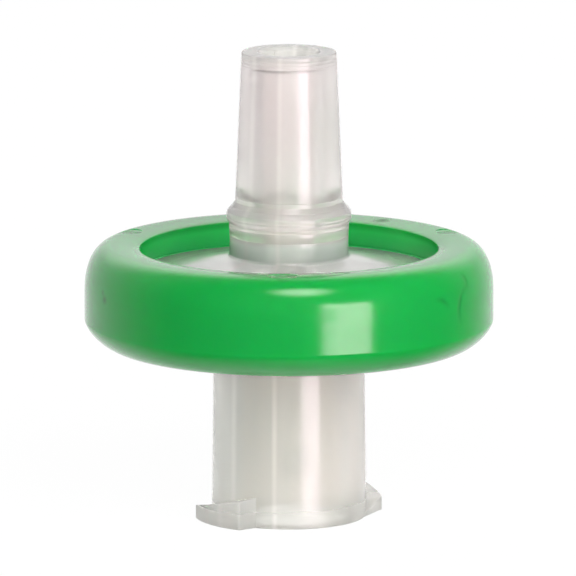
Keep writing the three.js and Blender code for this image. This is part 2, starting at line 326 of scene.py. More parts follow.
inlet = turned("inlet_housing", eased(inlet_outline, EDGE))
print(f"{inlet.name}: {len(inlet.data.polygons)} faces, turned from {len(inlet_outline)} corners")

# %% [markdown]
# ## The lock lugs
# A lug is a short piece of screw thread: parallel sides, an end on a circle round the barrel, and an
# upper face that climbs like a thread. A grid is laid out for that face, its columns are moved to the
# climb, and all is extruded down to the foot. The leading side is then extruded once more and pulled
# down to the barrel, so that the thread finds the lug.

# %% Sizes of the lugs
LUG_REACH = 0.773  # how far a lug stands out of the barrel
LUG_TIP_R = BARREL_FOOT_R + LUG_REACH
LUG_ROOT_DEPTH = 0.63  # how far it reaches into the barrel's wall
LUG_ROOT_X = BARREL_FOOT_R - LUG_ROOT_DEPTH
LUG_WIDTH = 3.1
LUG_ANGLE = 36  # degrees from +X to the middle of the first lug
LUG_THIN = 0.58  # thickness at the leading corner
LUG_LEAD = 5  # climb of the upper face in one turn
LUG_COLUMNS = 16
LUG_BLANK = 0.5  # rough depth of the first extrusion, before its foot is levelled
LEAD_IN = math.radians(-50)  # where the leading flank runs out on the barrel
LEAD_IN_HEIGHT = 0.1
LEAD_IN_ROOT = 0.6  # how far its inner end reaches into the wall
LEAD_IN_SINK = 0.02  # and its outer end
LUG_EDGE = 0.04
LUG_SHARP = math.radians(35)  # edges that turn more than this are eased
LUG_FOOT = 0.01  # clear of the barrel's foot plane, where a union would fail
print(f"the lugs are {2 * LUG_TIP_R:.2f} mm across")


# %% The climbing face
def lug_top(x, y):
    """Height of the climbing face at a place in the lug's own frame, +X through its middle."""
    leading = -math.asin(LUG_WIDTH / 2 / LUG_TIP_R)
    return LUG_THIN + LUG_LEAD / (2 * math.pi) * (math.atan2(y, x) - leading)


def move_column(piece, y, near, far):
    """Moves the two vertices of one column of the 1 mm wide grid to their x and their height."""
    for start_x, x in ((-0.5, near), (0.5, far)):
        pick(piece, lambda at: abs(at.x - start_x) < TOUCH and abs(at.y - y) < TOUCH)
        bpy.ops.transform.translate(value=((x - start_x) * MM, 0, lug_top(x, y) * MM))


def lug_grid():
    """The climbing face, in its place in the lug's frame."""
    bpy.ops.mesh.primitive_grid_add(x_subdivisions=1, y_subdivisions=LUG_COLUMNS, size=MM)
    piece = bpy.context.object
    piece.scale.y = LUG_WIDTH
    bpy.ops.object.transform_apply(scale=True)
    bpy.ops.object.mode_set(mode="EDIT")
    for column in range(LUG_COLUMNS + 1):
        y = LUG_WIDTH * (column / LUG_COLUMNS - 0.5)
        move_column(piece, y, LUG_ROOT_X, math.sqrt(LUG_TIP_R ** 2 - y ** 2))
    return piece


print(f"the middle of its end is {lug_top(LUG_TIP_R, 0):.2f} mm up")


# %% The lead-in
def pull_lead_in(piece):
    """Extrudes the leading side and brings its four corners down to the barrel."""
    side, away = -LUG_WIDTH / 2, LUG_WIDTH / 2
    pick(piece, lambda at: abs(at.y - side) < TOUCH)
    bpy.ops.mesh.extrude_region_move(TRANSFORM_OT_translate={"value": (0, -away * MM, 0)})
    tip_x = math.sqrt(LUG_TIP_R ** 2 - side ** 2)
    root_r, run_out_r = BARREL_FOOT_R - LEAD_IN_ROOT, BARREL_FOOT_R - LEAD_IN_SINK
    for x, radius in ((LUG_ROOT_X, root_r), (tip_x, run_out_r)):
        for z, height in ((LUG_FOOT, LUG_FOOT), (lug_top(x, side), LEAD_IN_HEIGHT)):
            corner = Vector((x, side - away, z))
            goal = Vector((radius * math.cos(LEAD_IN), radius * math.sin(LEAD_IN), height))
            pick(piece, lambda at: (at - corner).length < TOUCH)
            bpy.ops.transform.translate(value=(goal - corner) * MM)


# %% One lug with its middle on +X, and its copies
fresh()
lug = lug_grid()
bpy.ops.mesh.select_all(action="SELECT")
bpy.ops.mesh.extrude_region_move(TRANSFORM_OT_translate={"value": (0, 0, -LUG_BLANK * MM)})
bpy.ops.transform.resize(value=(1, 1, 0), center_override=(0, 0, LUG_FOOT * MM))  # all to one level
pull_lead_in(lug)
weld()
bpy.ops.mesh.select_all(action="DESELECT")
bpy.ops.mesh.select_mode(type="EDGE")
bpy.ops.mesh.edges_select_sharp(sharpness=LUG_SHARP)
bpy.ops.mesh.bevel(offset=LUG_EDGE * MM, segments=3, affect="EDGES", clamp_overlap=True)
bpy.ops.object.mode_set(mode="OBJECT")
fuse(inlet, around(lug, (LUG_ANGLE, LUG_ANGLE + 180)))

# %% [markdown]
# ## Ribs under and over the disc
# The disc would press flat against a plain wall and let nothing through, so both chambers have ribs,
# which show faintly through the upper plate. One rib is a cube, drawn out to size; its copies are
# set round the axis and fused to the moulding they grow from.

# %% Drawing out a cube
def block(middle, size, edge):
    """A cube drawn out to a size at a place, in mm, with its edges eased."""
    fresh()
    bpy.ops.mesh.primitive_cube_add(size=MM, location=Vector(middle) * MM)
    piece = bpy.context.object
    piece.scale = size
    bpy.ops.object.transform_apply()
    bpy.ops.object.mode_set(mode="EDIT")
    bpy.ops.mesh.select_all(action="SELECT")
    bpy.ops.mesh.bevel(offset=edge * MM, segments=2, affect="EDGES")
    bpy.ops.object.mode_set(mode="OBJECT")
    return piece


# %% Ribs of the inlet side
INLET_RIBS = 8
RIB_WIDTH = 0.34
RIB_EDGE = 0.05
RIB_ROOT = 0.1  # how far a rib reaches into its wall
RIB_END_GAP = 0.25
RIB_GAP = 0.1  # from the lower ribs to the disc
HUB_GAP = 0.5


def rib(start, end, bottom, top):
    """One rib along +X, between two radii and two heights."""
    middle = ((start + end) / 2, 0, (bottom + top) / 2)
    return block(middle, (end - start, RIB_WIDTH, top - bottom), RIB_EDGE)


def spread(count, first=0):
    """The angles in degrees of so many things, evenly spread round the axis."""
    return [first + 360 / count * i for i in range(count)]


inlet_rib = rib(
    INLET_HOLE_R + HUB_GAP, CHAMBER_R - RIB_END_GAP, INLET_FLOOR_Z - RIB_ROOT, LAND_Z - RIB_GAP
)
fuse(inlet, around(inlet_rib, spread(INLET_RIBS)))
finish(inlet, "clear_housing", "inlet_shell")

# %% [markdown]
# ## The upper moulding
# The outlet moulding has the same flange, a shallow cone over the chamber, a stepped collar that a
# luer lock nut would stop against, and the long slip cone with its bore. It is turned like the lower
# one. The bore's steps matter, because the cone's wall enlarges them.

# %% Fine lines round a wall
SCORE_WIDTH = 0.06
SCORE_DEPTH = 0.012


def radius_at(wall, height):
    """The radius of a rising wall at a height."""
    for (low_r, low), (high_r, high) in zip(wall, wall[1:]):
        if low <= height <= high:
            return low_r + (high_r - low_r) * (height - low) / (high - low)


def scored(wall, heights):
    """A rising wall with a fine V-shaped line cut round it at each height."""
    half = SCORE_WIDTH / 2
    result = [point for point in wall if all(abs(point[1] - height) > half for height in heights)]
    for height in heights:
        for at, depth in ((height - half, 0), (height, SCORE_DEPTH), (height + half, 0)):
            result.append((radius_at(wall, at) - depth, at))
    return sorted(result, key=lambda point: point[1])


# %% Sizes of the plate, the collar and the cone
EDGE_RISE = 0.05  # height of the small slope at the plate's margin
CROWN_RISE = 0.88  # top of the plate's cone, over the flange
WAIST_R = 2.47
WAIST_HEIGHT = 1.64
COLLAR_PROUD = 0.13
COLLAR_BAND = 0.2
COLLAR_SLOPE = 0.52
CONE_FOOT_R = 2.245
TIP_R = 1.978  # the luer standard's 3.96 mm across
WAIST_FILLET = ((0.16, 0), (0.06, 0.04), (0.01, 0.13), (0, 0.62))  # out from the waist, and up
SWELL = (0.18, 0.07)  # the waist swells to the collar between these depths under the collar's foot
SOFT = 0.03  # the swell and the slope start and end this far from the waist and the collar
SLOPE_START = 0.22  # share of the slope where it leaves the collar
SLOPE_TOP = (0.18, 0.46)  # out from the cone's foot, and down by a share of the slope
SLOPE_BEND = (0.05, 0.15)

PLATE_EDGE_Z = TOPSIDE_Z + EDGE_RISE
PLATE_CROWN_Z = FLANGE_TOP_Z + CROWN_RISE
COLLAR_R = WAIST_R + COLLAR_PROUD
COLLAR_FOOT_Z = PLATE_CROWN_Z + WAIST_HEIGHT
COLLAR_TOP_Z = COLLAR_FOOT_Z + COLLAR_BAND
CONE_FOOT_Z = COLLAR_TOP_Z + COLLAR_SLOPE
print(f"the cone is {FULL_HEIGHT - CONE_FOOT_Z:.2f} mm long")

# %% Sizes of the bore
TIP_BORE_R = 1.105
MOUTH_STEP = 0.095  # the mouth is this much wider than the bore
MOUTH_R = TIP_BORE_R + MOUTH_STEP
MOUTH_DEPTH = 0.65
MOUTH_CHAMFER = 0.15
CHAMFER_SLANT = 0.7  # width of the chamfer, per height
THROAT_R = 0.7
THROAT_DROP = 0.75  # the bore narrows to the throat this far under the collar
THROAT_Z = COLLAR_FOOT_Z - THROAT_DROP
FUNNEL = 0.06
BORE_DRAFT = 0.05  # how much slimmer each length of bore is at its lower end
SEAT_GAP = 0.05  # between the disc's edge and the wall that centres it
print(f"bore {2 * TIP_BORE_R:.2f} mm wide, throat {2 * THROAT_R:.2f} mm")

# %% Outline of the plate
seat_r = DISC_R + SEAT_GAP
plate_outline = [  # from the drain's ceiling out round the flange, and back over the plate
    (CHAMBER_R, DRAIN_CEILING_Z),
    (CHAMBER_R, CLAMP_Z + CLEARANCE),
    (seat_r, CLAMP_Z + CLEARANCE),
    (seat_r, LAND_Z + CLEARANCE),
    (hidden_r, LAND_Z + CLEARANCE),
    (hidden_r, FLANGE_TOP_Z - CLEARANCE),
    (CHAMBER_R - CLEARANCE, FLANGE_TOP_Z - CLEARANCE),
    (CHAMBER_R - CLEARANCE, TOPSIDE_Z),
    (PLATE_EDGE_R + EDGE_STEP, TOPSIDE_Z),
    (PLATE_EDGE_R, PLATE_EDGE_Z),
]

# %% Outline of the collar and the cone, upwards
outer_wall = [(WAIST_R + out, PLATE_CROWN_Z + up) for out, up in WAIST_FILLET] + [
    (WAIST_R + SOFT, COLLAR_FOOT_Z - SWELL[0]),
    (COLLAR_R - SOFT, COLLAR_FOOT_Z - SWELL[1]),
    (COLLAR_R, COLLAR_FOOT_Z),
    (COLLAR_R, COLLAR_TOP_Z),
    (COLLAR_R - SOFT, COLLAR_TOP_Z + COLLAR_SLOPE * SLOPE_START),
    (CONE_FOOT_R + SLOPE_TOP[0], CONE_FOOT_Z - COLLAR_SLOPE * SLOPE_TOP[1]),
    (CONE_FOOT_R + SLOPE_BEND[0], CONE_FOOT_Z - COLLAR_SLOPE * SLOPE_BEND[1]),
    (CONE_FOOT_R, CONE_FOOT_Z),
    (TIP_R, FULL_HEIGHT),
]

# %% Outline of the bore
mouth_foot = FULL_HEIGHT - MOUTH_DEPTH
bore_outline = [  # from the rim's inner edge down to the drain
    (MOUTH_R + CHAMFER_SLANT * MOUTH_CHAMFER, FULL_HEIGHT),
    (MOUTH_R, FULL_HEIGHT - MOUTH_CHAMFER),
    (MOUTH_R - BORE_DRAFT / 2, mouth_foot),
    (TIP_BORE_R, mouth_foot - (MOUTH_R - TIP_BORE_R)),
    (TIP_BORE_R - BORE_DRAFT, THROAT_Z + FUNNEL),
    (THROAT_R, THROAT_Z),
    (THROAT_R - BORE_DRAFT, DRAIN_CEILING_Z),
]

# %% [markdown]
# The mould's own lathe marks leave fine lines round the collar and under the tip's rim. They catch
# the light as thin hoops, and are cut into the outline before it is turned.

# %% Plate, collar, cone and bore
COLLAR_LINES = [COLLAR_FOOT_Z + rise for rise in (-0.72, -0.32, -0.17, 0.08, 0.34, 0.52, 0.9)]
TIP_LINES = [FULL_HEIGHT - drop for drop in (0.5, 0.35, 0.2)]
wall = scored(outer_wall, COLLAR_LINES + TIP_LINES)
outlet = turned("outlet_housing", eased(plate_outline + wall + bore_outline, EDGE))
print(f"{outlet.name}: {len(outlet.data.polygons)} faces, {len(COLLAR_LINES)} lines round its collar")

# %% Ribs of the outlet side
OUTLET_RIBS = 12
RIBS_IN_LINE = 3
RING_CHANNEL = 0.35  # the ring-shaped channels between the ribs of one line
first_rib = THROAT_R + HUB_GAP
rib_room = CHAMBER_R - RIB_END_GAP - first_rib - (RIBS_IN_LINE - 1) * RING_CHANNEL
rib_length = rib_room / RIBS_IN_LINE
rib_starts = [first_rib + i * (rib_length + RING_CHANNEL) for i in range(RIBS_IN_LINE)]
rib_bottom, rib_top = CLAMP_Z + CLEARANCE, DRAIN_CEILING_Z + RIB_ROOT
outlet_ribs = []
for start in rib_starts:
    outlet_rib = rib(start, start + rib_length, rib_bottom, rib_top)
    outlet_ribs += around(outlet_rib, spread(OUTLET_RIBS, first=180 / OUTLET_RIBS))
fuse(outlet, outlet_ribs)

# %% [markdown]
# ## The seam in the mouth
# The pin that forms the bore leaves a fine upright seam in its mouth. It is a cube, drawn out to a
# sliver with eased edges, and fused to the bore's wall.

# %% Seam in the mouth
SEAM_ANGLE = 119  # degrees from +X
SEAM_WIDTH = 0.06
SEAM_PROUD = 0.04
SEAM_LENGTH = 0.5
SEAM_DROP = 0.03  # from the mouth's chamfer to the seam
SEAM_EDGE = 0.012

seam_middle = (MOUTH_R, 0, FULL_HEIGHT - MOUTH_CHAMFER - SEAM_LENGTH / 2 - SEAM_DROP)
seam = block(seam_middle, (2 * SEAM_PROUD + BORE_DRAFT, SEAM_WIDTH, SEAM_LENGTH), SEAM_EDGE)
fuse(outlet, around(seam, [SEAM_ANGLE]))
finish(outlet, "clear_housing", "outlet_shell")

# %% [markdown]
# ## The filter disc
# The disc is a punched round of white membrane. It is a cylinder whose faces are pushed in and inset
# twice, so that the band which the mouldings pinch stays a little thinner than the rest.

# %% Filter disc
PRESSED = 0.012  # how far the mouldings press into each face
PRESSED_EDGE = 0.08  # width of the slope from the pinched band to the free face
FACE_RING = 1.8  # one more ring of faces, which keeps the large face even
DISC_CLEARANCE = 0.004

fresh()
thickness = CLAMP_Z - LAND_Z - 2 * DISC_CLEARANCE
bpy.ops.mesh.primitive_cylinder_add(
    vertices=TURN_STEPS, radius=(DISC_R - DISC_CLEARANCE) * MM, depth=thickness * MM,
    location=(0, 0, (LAND_Z + CLAMP_Z) / 2 * MM),
)
disc = bpy.context.object
disc.name = disc.data.name = "filter_membrane"
bpy.ops.object.transform_apply(location=True)
bpy.ops.object.mode_set(mode="EDIT")
for height, push in ((LAND_Z + DISC_CLEARANCE, PRESSED), (CLAMP_Z - DISC_CLEARANCE, -PRESSED)):
    pick(disc, lambda at: abs(at.z - height) < TOUCH)
    bpy.ops.transform.translate(value=(0, 0, push * MM))
    bpy.ops.mesh.inset(thickness=(DISC_R - CHAMBER_R) * MM)
    bpy.ops.mesh.inset(thickness=PRESSED_EDGE * MM)
    bpy.ops.transform.translate(value=(0, 0, -push * MM))
    bpy.ops.mesh.inset(thickness=FACE_RING * MM)
bpy.ops.object.mode_set(mode="OBJECT")
finish(disc, "filter_disc", "membrane")

# %% [markdown]
# ## The overmoulded ring
# The ring is what one sees first: a fat green band with a full rounding over its crest, a straight
# side, and a flatter rounding at its foot. From the crest it falls gently to a steep inner wall, and
# both rims end in thin ledges on the flanges. The roundings are quarters of superellipses: a power
# of 2 gives a plain ellipse, more a fuller rounding, less a flatter one.

# %% Sizes of the ring
FOOT_HEIGHT = 1.06  # height of the outer rounding at the foot
CREST_HEIGHT = 1.95  # and under the crest
SIDE_BOTTOM_Z = FOOT_Z + FOOT_HEIGHT
SIDE_TOP_Z = CREST_Z - CREST_HEIGHT
CREST_POWER = 2.25
FOOT_POWER = 1.47
INNER_ROUND = 0.18  # how far the crest falls on its inner side
FOOT_ROUND = 0.45
FOOT_ROUND_WIDTH = 1.1 * FOOT_ROUND
LEDGE_PROUD = 0.03
QUARTER_STEPS = 20
RING_EDGE = 0.04
print(f"the ring's straight side is {SIDE_TOP_Z - SIDE_BOTTOM_Z:.2f} mm tall")


# %% Ring: up the outside from its foot, over the crest, and down the inside
def quarter(side, end, power=2):
    """A quarter of a superellipse, from a point on the side to the crest or the foot."""
    points = []
    for step in range(QUARTER_STEPS + 1):
        t = step / QUARTER_STEPS * math.pi / 2
        across = max(math.cos(t), 0) ** (2 / power)
        along = math.sin(t) ** (2 / power)
        points.append((end[0] + (side[0] - end[0]) * across, side[1] + (end[1] - side[1]) * along))
    return points


inner_foot_r = WINDOW_R + FOOT_ROUND_WIDTH
foot = quarter((RING_R, SIDE_BOTTOM_Z), (FOOT_R, FOOT_Z), FOOT_POWER)
crest = quarter((RING_R, SIDE_TOP_Z), (CREST_R, CREST_Z), CREST_POWER)
inner_crest = quarter((WINDOW_R, CREST_Z - INNER_ROUND), (CREST_R, CREST_Z))
inner_foot = quarter((WINDOW_R, FOOT_Z + FOOT_ROUND), (inner_foot_r, FOOT_Z))
grip = [  # down the inside, round both flanges
    (WINDOW_R, TOPSIDE_Z + LEDGE_PROUD),
    (CHAMBER_R, TOPSIDE_Z + LEDGE_PROUD),
    (CHAMBER_R, FLANGE_TOP_Z),
    (FLANGE_R, FLANGE_TOP_Z),
    (FLANGE_R, FLANGE_BOTTOM_Z),
    (CHAMBER_R, FLANGE_BOTTOM_Z),
    (CHAMBER_R, UNDERSIDE_Z - LEDGE_PROUD),
    (WINDOW_R, UNDERSIDE_Z - LEDGE_PROUD),
]
ring_outline = foot[::-1] + crest + inner_crest[::-1][1:] + eased(grip, RING_EDGE) + inner_foot
ring = turned("green_ring", ring_outline)
print(f"{ring.name}: {len(ring.data.polygons)} faces, turned from {len(ring_outline)} points")

# %% [markdown]
# ## Gate marks
# The melt for the ring came in at three places on the crest. Where each gate was trimmed it left a
# flat round scar with a dimple in the middle. The trimmer is modelled instead of the scar: a short
# cylinder, its lower face inset and pushed down a little, that is cut from the crest.

# %% Sizes of the gate marks
GATE_ANGLES = (24, 156, 268)  # degrees from +X
GATE_R = 0.6
GATE_DEPTH = 0.035
GATE_DIMPLE = 0.03
GATE_EDGE = 0.03
DIMPLE_IN = 0.5  # of the mark's radius, to the dimple's rim
DIMPLE_SLOPE = 0.1  # of the mark's radius
TRIMMER = 0.5  # height of the trimmer
TRIMMER_SIDES = 48
print(f"{len(GATE_ANGLES)} gate marks, each {2 * GATE_R:.2f} mm across")

# %% Three gate marks
fresh()
scar_z = CREST_Z - GATE_DEPTH
bpy.ops.mesh.primitive_cylinder_add(
    vertices=TRIMMER_SIDES, radius=GATE_R * MM, depth=TRIMMER * MM,
    location=(CREST_R * MM, 0, (scar_z + TRIMMER / 2) * MM),
)
trimmer = bpy.context.object
bpy.ops.object.transform_apply(location=True)
bpy.ops.object.mode_set(mode="EDIT")
pick(trimmer, lambda at: at.z < scar_z + TOUCH)
bpy.ops.mesh.bevel(offset=GATE_EDGE * MM, segments=2, affect="EDGES")
pick(trimmer, lambda at: at.z < scar_z + 0.2 * TOUCH)  # the flat inside the eased edge
bpy.ops.mesh.inset(thickness=GATE_R * DIMPLE_IN * MM)
bpy.ops.mesh.inset(thickness=GATE_R * DIMPLE_SLOPE * MM)
bpy.ops.transform.translate(value=(0, 0, -GATE_DIMPLE * MM))
bpy.ops.object.mode_set(mode="OBJECT")
fuse(ring, around(trimmer, GATE_ANGLES), "DIFFERENCE")
finish(ring, "green_ring", "overmould_ring")

# %% [markdown]
# ## Writing shader maths as plain sums
# A procedural finish is arithmetic on fields: a noise, a distance, a height. A small class wraps a
# socket, so that a sum written in Python adds the Math node for it. The nodes could be laid out by
# hand in the shader editor, but a long sum is easier to read as a line of text.

# %% Field: a number that varies over a surface
class Field:
    """An output socket that can be used in sums."""

    def __init__(self, recipe, socket):
        self.recipe = recipe
        self.socket = socket

    def maths(self, operation, first, second):
        """A Math node on two numbers or fields."""
        return self.recipe.add("ShaderNodeMath", {"operation": operation}, {0: first, 1: second})

    def __add__(self, other):
        return self.maths("ADD", self, other)

    __radd__ = __add__

    def __sub__(self, other):
        return self.maths("SUBTRACT", self, other)

    def __rsub__(self, other):
        return self.maths("SUBTRACT", other, self)

    def __mul__(self, other):
        return self.maths("MULTIPLY", self, other)

    __rmul__ = __mul__


# %% Recipe: a node tree
class Recipe:
    """A node tree that is written down step by step."""

    def __init__(self, tree):
        self.tree = tree

    def add(self, kind, settings=None, sockets=None, output=0):
        """Adds a node. Its settings are set first, then its sockets, with values or with fields."""
        node = self.tree.nodes.new(kind)
        for name, value in (settings or {}).items():
            setattr(node, name, value)
        self.feed(node, sockets or {})
        return Field(self, node.outputs[output])

    def feed(self, node, sockets):
        """Links a node's sockets to fields, or sets them to plain values."""
        for name, value in sockets.items():
            if isinstance(value, Field):
                self.tree.links.new(value.socket, node.inputs[name])
            else:
                node.inputs[name].default_value = value

    def soft_step(self, value, start, end):
        """0 where a field is at the start, 1 where it is at the end, with a soft rise between."""
        return self.add(
            "ShaderNodeMapRange", {"interpolation_type": "SMOOTHSTEP"},
            {"Value": value, "From Min": start, "From Max": end},
        )

    def blend(self, share, colour, other):
        """A colour between two, by a share from 0 to 1."""
        sockets = {0: share, 6: colour, 7: other}
        return self.add("ShaderNodeMix", {"data_type": "RGBA"}, sockets, output=2)


# %% [markdown]
# A finish changes from place to place. A mask is a field that is 1 in one spot, on one line or above
# one height, and fades to 0 outside it. It could be painted on an image, but written as a sum it has
# no grain of its own and moves along when a size changes.

# %% Surface recipe: patterns and masks on the object
class SurfaceRecipe(Recipe):
    """The recipe of a material. Places and widths are in mm, and fixed to the object."""

    def place(self):
        """The place on the object, in metres."""
        return self.add("ShaderNodeTexCoord", output=3)

    def stretched(self, scale):
        """The place on the object, stretched so that a pattern can run along an axis."""
        return self.add("ShaderNodeMapping", sockets={"Vector": self.place(), "Scale": scale})

    def noise(self, vector, scale, detail=2.0):
        """Clouds from 0 to 1, the finer the larger the scale."""
        sockets = {"Vector": vector, "Scale": scale, "Detail": detail}
        return self.add("ShaderNodeTexNoise", sockets=sockets)

    def vector_maths(self, operation, first, second, output=0):
        """A Vector Math node. Its output 1 is a plain number."""
        sockets = {0: first, 1: second}
        return self.add("ShaderNodeVectorMath", {"operation": operation}, sockets, output)

    def both_ways(self, away, width):
        """1 where a signed distance is 0, fading to 0 at a width to both sides."""
        away = self.add("ShaderNodeMath", {"operation": "ABSOLUTE"}, {0: away})
        return self.soft_step(away, width * MM, 0.0)

    def away(self, centre):
        """The distance from a centre, in metres."""
        return self.vector_maths("DISTANCE", self.place(), Vector(centre) * MM, output=1)

    def near(self, centre, reach):
        """1 at a place, fading to 0 at the given reach."""
        return self.soft_step(self.away(centre), reach * MM, 0.0)

    def curl(self, centre, radius, width):
        """A line at one distance from a centre."""
        return self.both_ways(self.away(centre) - radius * MM, width)

    def upright_line(self, azimuth, width):
        """A line up the part, in a plane through the axis. Azimuth 0 is in front."""
        a = math.radians(azimuth)
        away = self.vector_maths("DOT_PRODUCT", self.place(), (math.cos(a), math.sin(a), 0), output=1)
        return self.both_ways(away, width)

    def rising(self, start, end, axis=2):
        """0 below one height and 1 above another, or the same along another axis."""
        height = self.add("ShaderNodeSeparateXYZ", sockets={0: self.place()}, output=axis)
        return self.soft_step(height, start * MM, end * MM)

    def outwards(self, start, end):
        """0 inside one radius from the axis and 1 outside another."""
        flat = self.vector_maths("MULTIPLY", self.place(), (1, 1, 0))
        radius = self.vector_maths("LENGTH", flat, (0, 0, 0), output=1)
        return self.soft_step(radius, start * MM, end * MM)

    def bump(self, height, strength, distance):
        """A relief in the shading alone, with its depth in mm."""
        sockets = {"Height": height, "Strength": strength, "Distance": distance * MM}
        return self.add("ShaderNodeBump", sockets=sockets)


def new_material(name):
    """A new material with its recipe and its main shader."""
    material = bpy.data.materials.new(name)
    material.use_nodes = True
    tree = material.node_tree
    return material, SurfaceRecipe(tree), tree.nodes["Principled BSDF"]


# %% [markdown]
# ## Clear polypropylene
# Unfilled polypropylene is never quite clear: it lets light through, bends it like glass, and clouds it
# a little. Most of the shader is therefore transmission with a soft roughness, and the rest is light
# scattered under the surface: plain glass would be too crisp, and scattering alone would look like wax.
# Flow in the mould leaves faint streaks along the part, from rosy to greenish grey, and the tint also
# changes from stretch to stretch. Light and shade are painted into the tint as well: some stretches are
# painted lighter, others darker, and two pale upright lines are painted in.

# %% Tints of the clear plastic, with painted light and shade
WARM = (0.79, 0.755, 0.715, 1)  # the lower moulding
ROSY = (0.785, 0.735, 0.725, 1)  # the upper one
GREENISH_STREAKS_AND_SHADE = (0.73, 0.75, 0.705, 1)  # the flow streaks' own tint, and painted greenish shade on the barrel's left and at the cone's foot
PAINTED_MARGIN_LIGHT = (0.93, 0.98, 0.89, 1)  # painted light: the upper plate's margin, next to the ring
PAINTED_LIGHT_GREENISH = (0.86, 0.91, 0.86, 1)  # painted light with the ring's green in it: the upper plate and the foot of the waist
PAINTED_LIGHT_PINK = (0.85, 0.81, 0.77, 1)  # painted light: the waist's upper half
BARREL_LEFT = (-5, 0, 3)
CONE_FOOT = (0, 0, CONE_FOOT_Z + 0.46)


def stretch_tint_and_light(recipe, streaks):
    """The tint of each stretch of the two mouldings, with painted light and shade in it."""
    tint = recipe.blend(recipe.rising(LAND_Z - 0.22, CONE_FOOT_Z + 0.66), WARM, ROSY)
    # painted shade: the barrel's left and the cone's foot are painted greener and darker
    painted_green_shade = recipe.near(BARREL_LEFT, 9) + recipe.near(CONE_FOOT, 3.4)
    tint = recipe.blend(painted_green_shade + 1.6 * (streaks - 0.5), tint, GREENISH_STREAKS_AND_SHADE)
    # painted light: the upper plate and the waist, deep inside the ring, are painted lighter
    waist_middle = recipe.rising(COLLAR_FOOT_Z - 0.92, COLLAR_FOOT_Z - 0.72)
    waist_painted_light = recipe.blend(waist_middle, PAINTED_LIGHT_GREENISH, PAINTED_LIGHT_PINK)
    over_flange = recipe.rising(FLANGE_TOP_Z - 0.7, FLANGE_TOP_Z + 0.1)
    under_collar = 1 - recipe.rising(COLLAR_FOOT_Z - 0.42, COLLAR_FOOT_Z - 0.02)
    tint = recipe.blend(over_flange * under_collar, tint, waist_painted_light)
    # painted light: the plate's margin beside the ring is painted lighter
    margin = recipe.outwards(PLATE_EDGE_R - 0.7, PLATE_EDGE_R + EDGE_STEP)
    margin = margin * recipe.rising(TOPSIDE_Z - 0.3, TOPSIDE_Z - 0.1)
    return recipe.blend(margin, tint, PAINTED_MARGIN_LIGHT)


# %% Painted shade and painted light on the clear plastic
# painted shade goes towards the grey, painted light towards the pale tint
PAINTED_SHADE_GREY = (0.66, 0.66, 0.62, 1)
PAINTED_LIGHT_PALE = (0.93, 0.89, 0.86, 1)
BARREL_FRONT = (-1.2, -3.2, 4)
BARREL_DARK_SPOT = (0.35, -3.2, 2.8)
FIRST_LUG_FLANK = (3.7, 2.2, 0.8)
SECOND_LUG_FRONT = (-3.3, -2.5, 0.5)
WAIST_FRONT = (0.2, -2.5, PLATE_CROWN_Z + 0.02)
CONE_RIGHT = (2.4, -1, CONE_FOOT_Z + 3.16)
LEFT_SHOULDER = (-2.1, -0.9, CONE_FOOT_Z + 0.76)  # painted light, where light from behind comes through
RIGHT_SHOULDER = (2.1, -0.9, CONE_FOOT_Z + 0.76)


def shades(recipe):
    """More than 0 where painted shade darkens the plastic: the barrel's front and foot, the right lug,
    the cone's right side and the waist's front, the back of the tip and its rim. Below 0 on the left
    lug's front, which is painted lighter.
    """
    barrel = recipe.near(BARREL_FRONT, 4.2) + recipe.near(BARREL_DARK_SPOT, 1.2)
    barrel_foot = 1 - recipe.rising(0.6, 1.6)
    lugs = 0.9 * recipe.near(FIRST_LUG_FLANK, 1.4) - 2.8 * recipe.near(SECOND_LUG_FRONT, 1.8)
    cone = recipe.near(CONE_RIGHT, 3.4) + 0.75 * recipe.near(WAIST_FRONT, 2)
    back_of_tip = recipe.rising(FULL_HEIGHT - 1, FULL_HEIGHT - 0.5) * recipe.rising(0.2, 0.8, axis=1)
    rim = 0.5 * recipe.rising(FULL_HEIGHT - 0.5, FULL_HEIGHT - 0.2)
    return barrel + barrel_foot + lugs + cone + back_of_tip + rim


# %% Clear plastic
def clear_plastic():
    """The two mouldings' plastic."""
    material, recipe, shader = new_material("clear polypropylene")
    streaks = recipe.noise(recipe.stretched((1, 1, 0.05)), 1700, detail=3.0)
    clouds = recipe.noise(recipe.place(), 260)
    grain = recipe.noise(recipe.stretched((1, 1, 0.25)), 2600, detail=3.0)
    tint = stretch_tint_and_light(recipe, streaks)
    # painted shade
    tint = recipe.blend(0.8 * shades(recipe), tint, PAINTED_SHADE_GREY)
    # painted light on the shoulders, and two upright lines of painted light
    shoulder_light = recipe.near(LEFT_SHOULDER, 1.5) + 0.6 * recipe.near(RIGHT_SHOULDER, 1.2)
    tint = recipe.blend(shoulder_light, tint, PAINTED_LIGHT_PALE)
    painted_light_lines = recipe.upright_line(-11, 0.17) + recipe.upright_line(-46, 0.25)
    frosted_foot = 1 - recipe.rising(0.2, 1.2)
    recipe.feed(shader, {
        "Base Color": recipe.blend(0.7 * painted_light_lines, tint, PAINTED_LIGHT_PALE),
        "Roughness": 0.12 + 0.1 * clouds + 0.2 * frosted_foot,
        "IOR": 1.49,
        "Transmission Weight": 0.76,
        "Subsurface Weight": 1.0,
        "Subsurface Radius": (1.0, 1.0, 1.0),
        "Subsurface Scale": 1.2 * MM,
        "Normal": recipe.bump(grain * 0.2 + streaks, 0.25, 0.02),
    })
    return material


clear = clear_plastic()
print(f"{clear.name}: {len(clear.node_tree.nodes)} nodes")

# %% [markdown]
# ## Green polypropylene
# The ring is the same plastic with a strong green pigment. It shines, because the mould is polished,
# and shows what a moulded ring shows: slow waves where the melt set, a fold where two fronts met, a
# dark speck. The gate scars are left matt. Such shallow marks need no faces, only shading.

